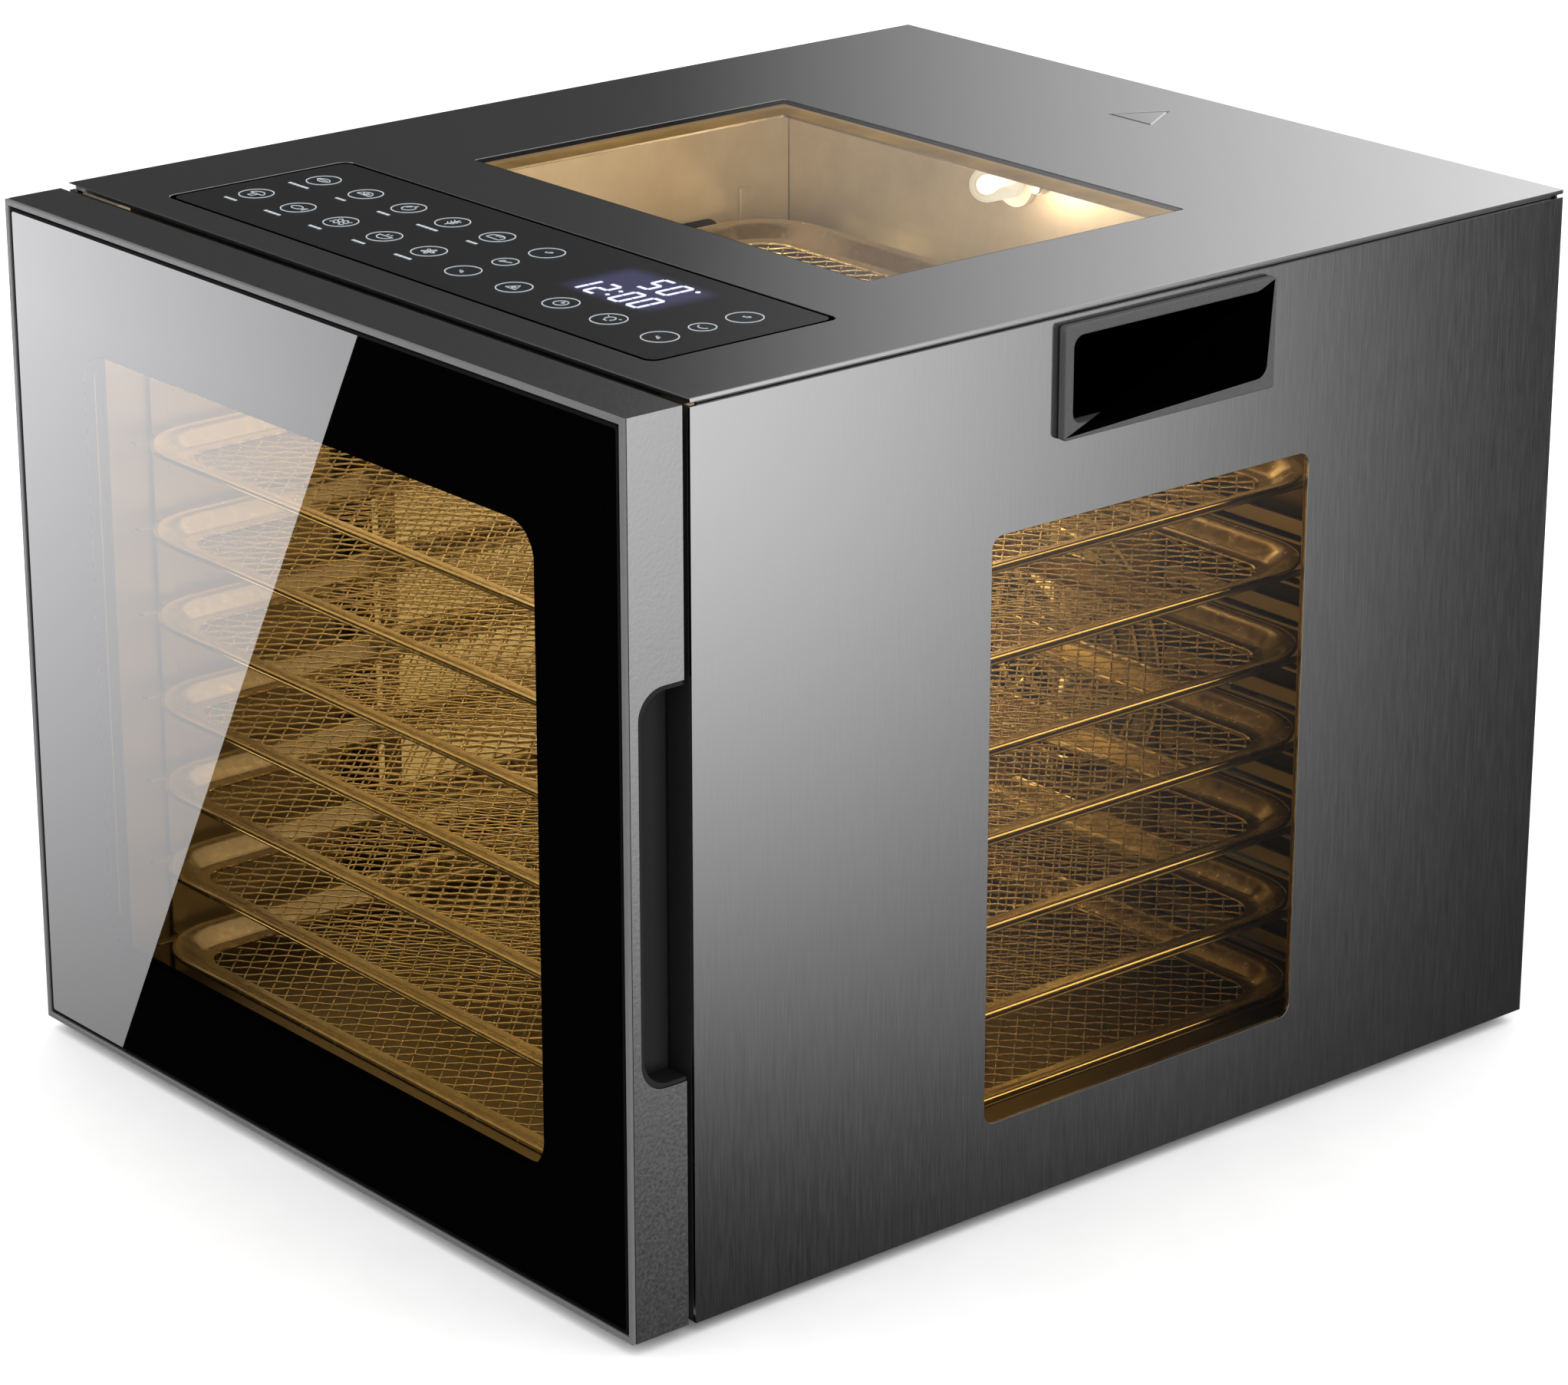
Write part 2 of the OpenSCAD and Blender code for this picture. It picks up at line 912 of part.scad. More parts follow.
base_pan();
side_panel_right();
side_panel_left();
top_cover();
rear_cover();
front_frame();
liner_right();
liner_left();
liner_ceiling();
liner_floor();
fan_baffle();
fan_guard();
tray_rails();
tray_posts();
top_window_glass();
side_window_glass_right();
side_window_glass_left();
top_window_seal();
side_window_seals();
handle_pocket_right();
handle_pocket_left();
control_glass();
control_housing();
control_board();
key_marks();
display_digits();
lamp_base();
lamp_bulb();
heater_coil();
fan_motor();
motor_bracket();
power_inlet();
feet();
screws();
hinge_brackets();
door_frame();
door_glass();
door_bezel();
door_grip();
door_gasket();
door_magnets();
fan_wheel();
fan_shaft();
tray_rim(1);  // tray_rim_1
tray_rim(2);  // tray_rim_2
tray_rim(3);  // tray_rim_3
tray_rim(4);  // tray_rim_4
tray_rim(5);  // tray_rim_5
tray_rim(6);  // tray_rim_6
tray_rim(7);  // tray_rim_7
tray_rim(8);  // tray_rim_8
tray_mesh(1);  // tray_mesh_1
tray_mesh(2);  // tray_mesh_2
tray_mesh(3);  // tray_mesh_3
tray_mesh(4);  // tray_mesh_4
tray_mesh(5);  // tray_mesh_5
tray_mesh(6);  // tray_mesh_6
tray_mesh(7);  // tray_mesh_7
tray_mesh(8);  // tray_mesh_8
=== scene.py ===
import math

import bpy
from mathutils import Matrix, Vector


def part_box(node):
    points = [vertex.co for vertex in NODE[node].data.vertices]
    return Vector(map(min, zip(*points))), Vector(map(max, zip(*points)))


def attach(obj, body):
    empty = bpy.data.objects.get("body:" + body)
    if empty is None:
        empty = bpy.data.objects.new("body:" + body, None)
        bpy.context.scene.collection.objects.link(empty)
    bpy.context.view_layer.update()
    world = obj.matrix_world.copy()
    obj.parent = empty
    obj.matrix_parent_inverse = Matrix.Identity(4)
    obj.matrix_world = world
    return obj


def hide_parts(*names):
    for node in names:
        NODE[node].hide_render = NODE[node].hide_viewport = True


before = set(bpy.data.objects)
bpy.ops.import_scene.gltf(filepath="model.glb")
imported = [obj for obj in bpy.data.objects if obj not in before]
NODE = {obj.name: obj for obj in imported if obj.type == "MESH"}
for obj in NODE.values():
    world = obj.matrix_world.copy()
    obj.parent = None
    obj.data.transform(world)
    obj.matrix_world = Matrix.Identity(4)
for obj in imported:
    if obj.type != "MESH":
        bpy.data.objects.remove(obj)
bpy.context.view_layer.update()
MM = 0.001
TRAYS = range(1, 9)

# The camera was fitted to the cabinet's corners: degrees, millimetres of lens, metres.
CAMERA_AZIMUTH, CAMERA_ELEVATION, CAMERA_DISTANCE = 49.815, 19.973, 1.8398
CAMERA_TARGET = (-0.0007, 0.0, 0.1295)
CAMERA_LENS, CAMERA_SENSOR = 117.16, 36.0


# ---------- camera ----------
def add_camera():
    azimuth, elevation = math.radians(CAMERA_AZIMUTH), math.radians(CAMERA_ELEVATION)
    flat = math.cos(elevation)
    back = Vector((math.sin(azimuth) * flat, -math.cos(azimuth) * flat, math.sin(elevation)))
    data = bpy.data.cameras.new("camera")
    data.sensor_width = CAMERA_SENSOR
    data.lens = CAMERA_LENS
    data.clip_start = 0.05
    data.clip_end = 60.0
    cam = bpy.data.objects.new("camera", data)
    bpy.context.scene.collection.objects.link(cam)
    cam.location = Vector(CAMERA_TARGET) + back * CAMERA_DISTANCE
    cam.rotation_euler = back.to_track_quat("Z", "Y").to_euler()
    bpy.context.scene.camera = cam


# ---------- node helpers ----------
EVEN = (1, 1, 1)


def node(nt, kind, inputs=None, **props):
    """Adds a shader node. An input that is a socket gets linked, any other value is set."""
    n = nt.nodes.new("ShaderNode" + kind)
    for key, value in props.items():
        setattr(n, key, value)
    for key, value in (inputs or {}).items():
        if isinstance(value, bpy.types.NodeSocket):
            nt.links.new(value, n.inputs[key])
        else:
            n.inputs[key].default_value = value
    return n


def math_node(nt, operation, *values, clamp=False):
    return node(nt, "Math", dict(enumerate(values)), operation=operation, use_clamp=clamp).outputs[0]


def mul(nt, a, b, clamp=False):
    return math_node(nt, "MULTIPLY", a, b, clamp=clamp)


def add(nt, a, b, clamp=False):
    return math_node(nt, "ADD", a, b, clamp=clamp)


def sub(nt, a, b):
    return math_node(nt, "SUBTRACT", a, b)


def larger(nt, a, b):
    return math_node(nt, "MAXIMUM", a, b)


def above(nt, a, limit):
    """1 where a is over the limit, else 0."""
    return math_node(nt, "GREATER_THAN", a, limit)


def distance(nt, a, centre=None):
    return math_node(nt, "ABSOLUTE", a if centre is None else sub(nt, a, centre))


def ramp(nt, value, from_min, from_max, to_min, to_max, smooth=False):
    inputs = {"Value": value, "From Min": from_min, "From Max": from_max, "To Min": to_min,
              "To Max": to_max}
    kind = "SMOOTHSTEP" if smooth else "LINEAR"
    return node(nt, "MapRange", inputs, interpolation_type=kind).outputs[0]


def grey(v):
    return (v, v, v, 1.0)


def rgba(c):
    return grey(c) if isinstance(c, (int, float)) else (*c, 1.0)


def shade(c, k):
    return tuple(min(1.0, max(0.0, v * k)) for v in rgba(c)[:3])


def new_material(name):
    mat = bpy.data.materials.new(name)
    mat.use_nodes = True
    nt = mat.node_tree
    nt.nodes.clear()
    out = nt.nodes.new("ShaderNodeOutputMaterial")
    return mat, nt, out


def object_xyz(nt):
    """The point's x, y and z in the object's own frame, which is the CAD frame in metres."""
    return node(nt, "SeparateXYZ", {0: node(nt, "TexCoord").outputs["Object"]}).outputs


def facing_up(nt):
    """The upward part of the face's normal."""
    return node(nt, "SeparateXYZ", {0: node(nt, "NewGeometry").outputs["True Normal"]}).outputs[2]


def noise(nt, scale, stretch=EVEN, detail=3.0, rough=0.6, distortion=0.0):
    coord = node(nt, "TexCoord").outputs["Object"]
    mapped = node(nt, "Mapping", {"Vector": coord, "Scale": stretch}).outputs[0]
    return node(nt, "TexNoise", {"Vector": mapped, "Scale": scale, "Detail": detail, "Roughness": rough,
                                 "Distortion": distortion}).outputs["Fac"]


def surface(name, base, rough, metal, grain, scale, rough_amp, tint, bump, depth, wide=None, height=None,
            **sockets):
    """A Principled material whose colour, roughness and bump follow a noise of that scale and stretch.
    wide = (scale, tint) adds slow colour variation, and height replaces the noise in the bump."""
    mat, nt, out = new_material(name)
    bsdf = node(nt, "BsdfPrincipled", {"Metallic": metal})
    for key, value in sockets.items():
        bsdf.inputs[key.replace("_", " ")].default_value = value
    fine = noise(nt, scale, grain)
    colour = node(nt, "Mix", {0: ramp(nt, fine, 0.3, 0.7, 0, 1), 6: rgba(shade(base, 1 - tint)),
                              7: rgba(shade(base, 1 + tint))}, data_type="RGBA").outputs[2]
    if wide:
        slow = ramp(nt, noise(nt, wide[0], detail=2.0), 0.35, 0.65, 1 - wide[1], 1 + wide[1])
        scaled = node(nt, "VectorMath", {0: colour, 3: slow}, operation="SCALE")
        colour = scaled.outputs[0]
    nt.links.new(colour, bsdf.inputs["Base Color"])
    nt.links.new(ramp(nt, fine, 0.3, 0.7, rough - rough_amp, rough + rough_amp), bsdf.inputs["Roughness"])
    relief = height(nt) if height else fine
    normal = node(nt, "Bump", {"Height": relief, "Strength": bump, "Distance": depth}).outputs[0]
    nt.links.new(normal, bsdf.inputs["Normal"])
    nt.links.new(bsdf.outputs[0], out.inputs[0])
    return mat, nt, bsdf


def hammered(nt):
    """Small round bumps of hammered paint."""
    coord = node(nt, "TexCoord").outputs["Object"]
    inputs = {"Vector": coord, "Scale": 700.0, "Smoothness": 0.9}
    cells = node(nt, "TexVoronoi", inputs, feature="SMOOTH_F1")
    return add(nt, cells.outputs["Distance"], noise(nt, 1500.0))


def crinkled(nt):
    """Slow waves of thin sheet metal with fine grain on them."""
    slow = noise(nt, 30.0, detail=2.0, rough=0.5, distortion=0.5)
    return add(nt, mul(nt, slow, 6.0), mul(nt, noise(nt, 700.0), 0.3))


def glass(name, tint, ior=1.5, rough=0.015, smears=0.05, dark_sides=False):
    """Thin window glass: lets tinted light straight through, mirrors by Fresnel, has faint wiping marks.
    dark_sides paints the upright edges of the top pane's raised part black."""
    mat, nt, out = new_material(name)
    smear = noise(nt, 60.0, (1, 1, 4), detail=4.0)
    haze = ramp(nt, smear, 0.35, 0.7, rough, rough + smears)
    gloss = node(nt, "BsdfGlossy", {"Color": grey(1.0), "Roughness": haze})
    clear = node(nt, "BsdfTransparent", {"Color": rgba(tint)})
    inner = node(nt, "NewGeometry").outputs["Backfacing"]
    face = mul(nt, node(nt, "Fresnel", {"IOR": ior}).outputs[0], sub(nt, 1.0, inner))
    mix = node(nt, "MixShader", {0: face, 1: clear.outputs[0], 2: gloss.outputs[0]})
    if dark_sides:
        upright = math_node(nt, "LESS_THAN", distance(nt, facing_up(nt)), 0.5)
        side = mul(nt, upright, above(nt, object_xyz(nt)[2], PANE_STEP))
        black = node(nt, "BsdfDiffuse", {"Color": grey(0.003)})
        mix = node(nt, "MixShader", {0: side, 1: mix.outputs[0], 2: black.outputs[0]})
    nt.links.new(mix.outputs[0], out.inputs[0])
    return mat


def glow(name, colour, strength):
    """A lit surface, a little uneven."""
    mat, nt, out = new_material(name)
    fine = noise(nt, 900.0)
    power = ramp(nt, fine, 0.3, 0.7, strength * 0.92, strength * 1.08)
    emission = node(nt, "Emission", {"Color": rgba(colour), "Strength": power})
    nt.links.new(emission.outputs[0], out.inputs[0])
    return mat


def lit_glass():
    """The lamp's jar: clear in the middle, bright at its outline and towards the wall."""
    mat, nt, out = new_material("lamp_glass")
    edge = math_node(nt, "POWER", node(nt, "LayerWeight", {"Blend": 0.5}).outputs["Facing"], 1.6)
    body = ramp(nt, object_xyz(nt)[1], *LAMP_BODY_Y, 0.0, 0.55, smooth=True)
    grain = ramp(nt, noise(nt, 300.0), 0.3, 0.7, 0.9, 1.1)
    fac = mul(nt, add(nt, mul(nt, edge, 0.8), body), grain, clamp=True)
    shine = node(nt, "Emission", {"Color": (1.0, 0.94, 0.82, 1.0), "Strength": 1.25})
    clear = node(nt, "BsdfTransparent", {"Color": (1.0, 0.98, 0.94, 1.0)})
    mix = node(nt, "MixShader", {0: fac, 1: clear.outputs[0], 2: shine.outputs[0]})
    nt.links.new(mix.outputs[0], out.inputs[0])
    return mat


# ---------- materials ----------
BRUSH_Z = (5, 5, 0.14)
BRUSH_Y = (5, 0.14, 5)
LINER = (0.38, 0.335, 0.27)
# Colour of the painted lamp light on the walls and on the top seal.
PAINTED_LAMP_LIGHT = (0.86, 0.68, 0.46, 1.0)
# Where a look changes, in metres.
PANE_STEP = 0.3132  # height of the top pane's raised part
LAMP_BODY_Y = (0.114, 0.130)  # the jar gets brighter towards the wall
LAMP_SHINE_Z = (0.235, 0.278)  # the painted lamp light on the walls grows towards the ceiling
POCKET_X = (0.1706, 0.1716)  # the pocket is black inside of this
BARS_X = (0.050, 0.056)  # between these the painted shade in the rear wall's gaps starts
FIGURES = (0.066, -0.118)  # middle of the lit figures, x and y

# Base colour, roughness, metal, stretch and scale of the grain, spread of the roughness and of the tint,
# strength and depth of the bump.
SURFACES = {
    "black_steel": (0.50, 0.15, 1.0, BRUSH_Z, 600, 0.02, 0.035, 0.03, 0.0001),
    "cover_steel": (0.50, 0.17, 1.0, BRUSH_Y, 600, 0.02, 0.035, 0.03, 0.0001),
    "black_paint": (0.012, 0.45, 0, EVEN, 900, 0.08, 0.2, 0.15, 0.0002),
    "zinc_steel": (0.62, 0.3, 1.0, EVEN, 900, 0.08, 0.08, 0.1, 0.0001),
    "bezel_metal": (0.11, 0.4, 0.0, EVEN, 500, 0.05, 0.04, 0.05, 0.0001),
    "black_plastic": (0.004, 0.5, 0, EVEN, 1200, 0.06, 0.3, 0.2, 0.0002),
    "seal_rubber": (0.01, 0.6, 0, EVEN, 1500, 0.08, 0.3, 0.2, 0.0002),
    "board": ((0.01, 0.10, 0.035), 0.45, 0, EVEN, 300, 0.08, 0.3, 0.2, 0.0002),
    "lamp_ceramic": ((0.75, 0.70, 0.60), 0.35, 0, EVEN, 400, 0.06, 0.08, 0.1, 0.0002),
    "heater": (0.09, 0.5, 0.8, EVEN, 500, 0.1, 0.2, 0.3, 0.0003),
    "motor": (0.35, 0.35, 1.0, EVEN, 500, 0.08, 0.1, 0.1, 0.0002),
    "fan_alu": (0.75, 0.35, 1.0, EVEN, 500, 0.08, 0.06, 0.1, 0.0002),
    "magnet": (0.55, 0.25, 1.0, EVEN, 900, 0.05, 0.05, 0.05, 0.0001),
}


def make_materials():
    m = {name: surface(name, *values)[0] for name, values in SURFACES.items()}
    for name, base, rough, scale, rough_amp, tint, bump, depth, wide in (
            ("tray_steel", (0.80, 0.72, 0.58), 0.22, 300, 0.07, 0.05, 0.15, 0.0003, (30, 0.08)),
            ("mesh_steel", (0.82, 0.73, 0.58), 0.26, 250, 0.08, 0.08, 0.2, 0.0002, (25, 0.12))):
        m[name] = surface(name, base, rough, 1.0, EVEN, scale, rough_amp, tint, bump, depth, wide)[0]
    m["frame_paint"] = surface("frame_paint", 0.44, 0.2, 1.0, EVEN, 900, 0.03, 0.05, 0.04, 0.0002,
                               height=hammered)[0]
    m["marks"] = surface("marks", (0.40, 0.44, 0.48), 0.5, 0, EVEN, 900, 0.06, 0.1, 0.05, 0.0001,
                         Emission_Color=(0.55, 0.62, 0.70, 1), Emission_Strength=0.08)[0]
    m["groove_black"] = surface("groove_black", 0.002, 0.6, 0, EVEN, 900, 0.06, 0.3, 0.1, 0.0001,
                                Specular_IOR_Level=0.1)[0]
    m["door_print"] = surface("door_print", 0.0003, 0.006, 0, EVEN, 60, 0.003, 0.2, 0.002, 0.0001,
                              IOR=1.75)[0]
    m["liner_steel"], nt, bsdf = surface("liner_steel", LINER, 0.46, 1.0, EVEN, 500, 0.05, 0.04, 0.10,
                                         0.0004, wide=(18, 0.05), height=crinkled)
    # Painted lamp light on the liner near the ceiling.
    paint_lamp_light(nt, bsdf)
    m["ceiling_steel"] = lit_ceiling()
    m["baffle_steel"] = baffle_steel()
    m["grey_plastic"] = pocket_plastic()
    m["panel_glass"] = touch_glass()
    m["seal_amber"] = top_seal()
    m["window_glass"] = glass("window_glass", (0.78, 0.69, 0.50))
    m["top_glass"] = glass("top_glass", (0.92, 0.89, 0.82), dark_sides=True)
    m["door_clear"] = glass("door_clear", (0.78, 0.71, 0.55), 1.75, 0.002, 0.006)
    m["lamp_glass"] = lit_glass()
    m["lamp_glow"] = glow("lamp_glow", (1.0, 0.90, 0.70), 5.0)
    m["digits"] = glow("digits", (0.74, 0.76, 1.0), 1.35)
    return m


def dim(nt, bsdf, factor, specular=0.5):
    """Multiplies the material's colour and mirror strength by a factor that varies over the surface."""
    colour = bsdf.inputs["Base Color"].links[0].from_socket
    scaled = node(nt, "VectorMath", {0: colour, 3: factor}, operation="SCALE")
    nt.links.new(scaled.outputs[0], bsdf.inputs["Base Color"])
    nt.links.new(mul(nt, factor, specular), bsdf.inputs["Specular IOR Level"])


def lit_ceiling():
    """Liner steel whose upper face has a painted warm glow, standing in for the lamp's light that runs
    inside the pane above it.
    """
    mat, nt, bsdf = surface("ceiling_steel", LINER, 0.46, 1.0, EVEN, 500, 0.05, 0.04, 0.10, 0.0004)
    bsdf.inputs["Emission Color"].default_value = (0.80, 0.50, 0.14, 1.0)
    # Painted light: the upward face glows warm, a little unevenly.
    lit = mul(nt, above(nt, facing_up(nt), 0.5), ramp(nt, noise(nt, 40.0), 0.3, 0.7, 0.2, 0.45))
    nt.links.new(lit, bsdf.inputs["Emission Strength"])
    return mat


def paint_lamp_light(nt, bsdf):
    """Painted lamp light: the walls near the ceiling glow warm, a little unevenly, as if bathed in the
    lamp's light.
    """
    uneven = ramp(nt, noise(nt, 45.0, detail=6.0, rough=0.7), 0.3, 0.7, 0.22, 0.34)
    near_lamp = ramp(nt, object_xyz(nt)[2], *LAMP_SHINE_Z, 0.0, 1.0, smooth=True)
    bsdf.inputs["Emission Color"].default_value = PAINTED_LAMP_LIGHT
    nt.links.new(mul(nt, uneven, near_lamp), bsdf.inputs["Emission Strength"])


def top_seal():
    """Amber seal of the top pane with painted light: dark under the glass, paler and glowing towards the lit
    chamber.
    """
    mat, nt, bsdf = surface("seal_amber", (0.62, 0.38, 0.12), 0.4, 0.3, EVEN, 1500, 0.08, 0.1, 0.2,
                            0.0002)
    lo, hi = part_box("top_window_seal")
    # Painted light: paler colour and a warm glow towards the seal's lower edge by the chamber.
    low = ramp(nt, object_xyz(nt)[2], lo.z, hi.z - 0.8 * MM, 1.0, 0.0)
    colour = bsdf.inputs["Base Color"].links[0].from_socket
    mixed = node(nt, "Mix", {0: low, 6: colour, 7: (0.70, 0.60, 0.46, 1.0)}, data_type="RGBA").outputs[2]
    nt.links.new(mixed, bsdf.inputs["Base Color"])
    bsdf.inputs["Emission Color"].default_value = PAINTED_LAMP_LIGHT
    nt.links.new(mul(nt, low, 0.30), bsdf.inputs["Emission Strength"])
    return mat


def baffle_steel():
    """Liner steel with painted shade between the rear wall's raised bars, but not in the middle or near the
    ceiling.
    """
    mat, nt, bsdf = surface("baffle_steel", LINER, 0.40, 1.0, EVEN, 500, 0.05, 0.04, 0.10, 0.0004,
                            wide=(18, 0.05), height=crinkled)
    x, y, z = object_xyz(nt)
    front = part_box("fan_baffle")[0].y
    raised = ramp(nt, y, front + 1.2 * MM, front + 2.2 * MM, 1.0, 0.12)
    middle = ramp(nt, distance(nt, x), *BARS_X, 0.6, 0.0)
    upper = add(nt, ramp(nt, z, 0.200, 0.206, 0.0, 0.42), ramp(nt, z, 0.242, 0.274, 0.0, 0.58))
    plain = larger(nt, middle, upper)
    # Painted shade: colour and mirror strength drop in the gaps behind the bars.
    dim(nt, bsdf, larger(nt, raised, plain))
    # Painted lamp light on the rear wall near the ceiling.
    paint_lamp_light(nt, bsdf)
    return mat


def pocket_plastic():
    """Grey textured plastic that turns black inside the pocket."""
    mat, nt, bsdf = surface("grey_plastic", 0.065, 0.42, 0, EVEN, 1400, 0.06, 0.15, 0.5, 0.0003)
    dim(nt, bsdf, ramp(nt, distance(nt, object_xyz(nt)[0]), *POCKET_X, 0.0, 1.0))
    return mat


def touch_glass():
    """Charcoal glass with a black line printed round its edge and a bluish plate behind the figures."""
    mat, nt, bsdf = surface("panel_glass", 0.012, 0.2, 0, EVEN, 500, 0.02, 0.05, 0.01, 0.0001, IOR=1.35)
    lo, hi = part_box("control_glass")
    x, y, _ = object_xyz(nt)
    corner, line = 5.0 * MM, 1.2 * MM
    squares = []
    for axis, a, b in ((x, lo.x, hi.x), (y, lo.y, hi.y)):
        past = larger(nt, sub(nt, distance(nt, axis, (a + b) / 2), (b - a) / 2 - corner), 0.0)
        squares.append(math_node(nt, "POWER", past, 2.0))
    reach = math_node(nt, "SQRT", add(nt, *squares))
    dim(nt, bsdf, ramp(nt, reach, corner - line, corner - line + 0.2 * MM, 1.0, 0.0))
    near_x = ramp(nt, distance(nt, x, FIGURES[0]), 0.016, 0.026, 1.0, 0.0, smooth=True)
    near_y = ramp(nt, distance(nt, y, FIGURES[1]), 0.010, 0.019, 1.0, 0.0, smooth=True)
    bsdf.inputs["Emission Color"].default_value = (0.24, 0.22, 0.58, 1.0)
    nt.links.new(mul(nt, mul(nt, near_x, near_y), 0.16), bsdf.inputs["Emission Strength"])
    return mat


# ---------- mesh helpers ----------
def rounded(x0, x1, y0, y1, r, n=8):
    """Points of a rounded rectangle, anticlockwise from the right side."""
    r = max(r, 1e-5)
    centres = ((x1 - r, y1 - r), (x0 + r, y1 - r), (x0 + r, y0 + r), (x1 - r, y0 + r))
    points = []
    for k, (cx, cy) in enumerate(centres):
        for j in range(n + 1):
            a = math.pi / 2 * (k + j / n)
            points.append((cx + r * math.cos(a), cy + r * math.sin(a)))
    return points


def skin(loops, closed=False):
    """Vertices and quads that join loops with equal numbers of points, each loop closed on itself."""
    n = len(loops[0])
    verts = [p for loop in loops for p in loop]
    faces = []
    rows = len(loops) if closed else len(loops) - 1
    for i in range(rows):
        a, b = i * n, (i + 1) % len(loops) * n
        for j in range(n):
            k = (j + 1) % n
            faces.append((a + j, a + k, b + k, b + j))
    return verts, faces


def add_mesh(name, verts, faces, mats, body, scale=MM, sharp=35.0, index=None):
    data = bpy.data.meshes.new(name)
    data.from_pydata([tuple(v * scale for v in p) for p in verts], [], faces)
    for mat in mats:
        data.materials.append(mat)
    if index is not None:
        data.polygons.foreach_set("material_index", index)
    data.shade_smooth()
    data.set_sharp_from_angle(angle=math.radians(sharp))
    data.update()
    obj = bpy.data.objects.new(name, data)
    bpy.context.scene.collection.objects.link(obj)
    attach(obj, body)
    return obj


def refine(name, width):
    """Softens the edges of a CAD node with modifiers, which leave its mesh as it is."""
    obj = NODE[name]
    weld = obj.modifiers.new("weld", "WELD")
    weld.merge_threshold = 1e-6
    flat = obj.modifiers.new("flat", "DECIMATE")
    flat.decimate_type = "DISSOLVE"
    flat.angle_limit = math.radians(0.6)
    if width:
        bevel = obj.modifiers.new("bevel", "BEVEL")
        bevel.width = width * MM
        bevel.segments = 2
        bevel.limit_method = "ANGLE"
        bevel.angle_limit = math.radians(32.0)
        bevel.use_clamp_overlap = True
        bevel.harden_normals = False
    normals = obj.modifiers.new("normals", "WEIGHTED_NORMAL")
    normals.mode = "FACE_AREA_WITH_ANGLE"
    normals.keep_sharp = False


def paint(obj, mat):
    for slot in obj.material_slots:
        slot.material = mat


# ---------- trays ----------
# The rolled rim's section in mm: distance in from the outline, height from the top of the rim.
RIM = [(15.2, -5.55), (12.6, -5.5), (11.0, -5.25), (10.0, -4.6), (6.2, -1.9), (4.6, -0.9), (3.2, -0.3),
       (2.0, -0.04), (1.0, 0.0), (0.45, -0.15), (0.1, -0.5), (0.0, -0.95), (0.15, -1.4), (0.5, -1.75),
       (0.95, -1.88), (1.45, -1.75), (1.8, -1.4), (2.3, -1.15), (3.4, -1.2), (4.9, -1.95), (9.2, -4.95),
       (10.6, -5.9), (12.4, -6.3), (15.2, -6.35)]
RIM_CORNER = 28


def add_tray_rim(i, mat):
    lo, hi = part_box("tray_rim_%d" % i)
    x0, x1, y0, y1, top = lo.x / MM, hi.x / MM, lo.y / MM, hi.y / MM, hi.z / MM
    loops = [[(x, y, top + dz) for x, y in rounded(x0 + d, x1 - d, y0 + d, y1 - d, RIM_CORNER - d, 14)]
             for d, dz in RIM]
    verts, faces = skin(loops, closed=True)
    obj = add_mesh("tray_rim_%d_rolled" % i, verts, faces, [mat], "tray_%d" % i, sharp=50)
    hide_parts("tray_rim_%d" % i)


def wire_mesh_data(mat, x0, x1, y0, y1, corner, spacing=6.0, wave=0.30, radius=0.38):
    """Two crossing families of crimped wires at 45 degrees, cut to a rounded rectangle, around z = 0."""
    cx, cy, hx, hy = (x0 + x1) / 2, (y0 + y1) / 2, (x1 - x0) / 2, (y1 - y0) / 2

    def past_edge(x, y):
        """Distance outside the rounded rectangle, negative inside."""
        qx, qy = abs(x - cx) - hx + corner, abs(y - cy) - hy + corner
        return math.hypot(max(qx, 0), max(qy, 0)) + min(max(qx, qy), 0) - corner

    root = math.sqrt(0.5)
    count = int((hx + hy) * root / spacing) + 2
    verts, faces = [], []
    for family in (0, 1):
        ux, uy = (root, root) if family == 0 else (root, -root)
        vx, vy = -uy, ux
        for k in range(-count, count + 1):
            def at(t):
                return cx + ux * t + vx * k * spacing, cy + uy * t + vy * k * spacing
            ts = [j * spacing for j in range(-count, count + 1) if past_edge(*at(j * spacing)) < 0]
            if len(ts) < 2:
                continue
            # Up and down by turns, so that the two families pass over and under each other.
            line = [(t, (-1) ** (round(t / spacing) + k + family)) for t in ts]
            # Both ends are halved towards the outline until they lie on it.
            for end, sign in ((0, -1), (-1, 1)):
                a, b = ts[end], ts[end] + sign * spacing
                for _ in range(12):
                    mid = (a + b) / 2
                    a, b = (mid, b) if past_edge(*at(mid)) < 0 else (a, mid)
                line.insert(0 if end == 0 else len(line), (a, 0))
            start = len(verts)
            for t, up in line:
                x, y = at(t)
                z = up * wave
                for q in range(4):
                    c, s = ((1, 0), (0, 1), (-1, 0), (0, -1))[q]
                    verts.append((x + vx * c * radius, y + vy * c * radius, z + s * radius))
            for j in range(len(line) - 1):
                for q in range(4):
                    a, b = start + j * 4 + q, start + j * 4 + (q + 1) % 4
                    faces.append((a, b, b + 4, a + 4))
            last = start + (len(line) - 1) * 4
            faces.append((start + 3, start + 2, start + 1, start))
            faces.append((last, last + 1, last + 2, last + 3))
    data = bpy.data.meshes.new("tray_wires")
    data.from_pydata([tuple(v * MM for v in p) for p in verts], [], faces)
    data.materials.append(mat)
    data.shade_smooth()
    data.update()
    return data


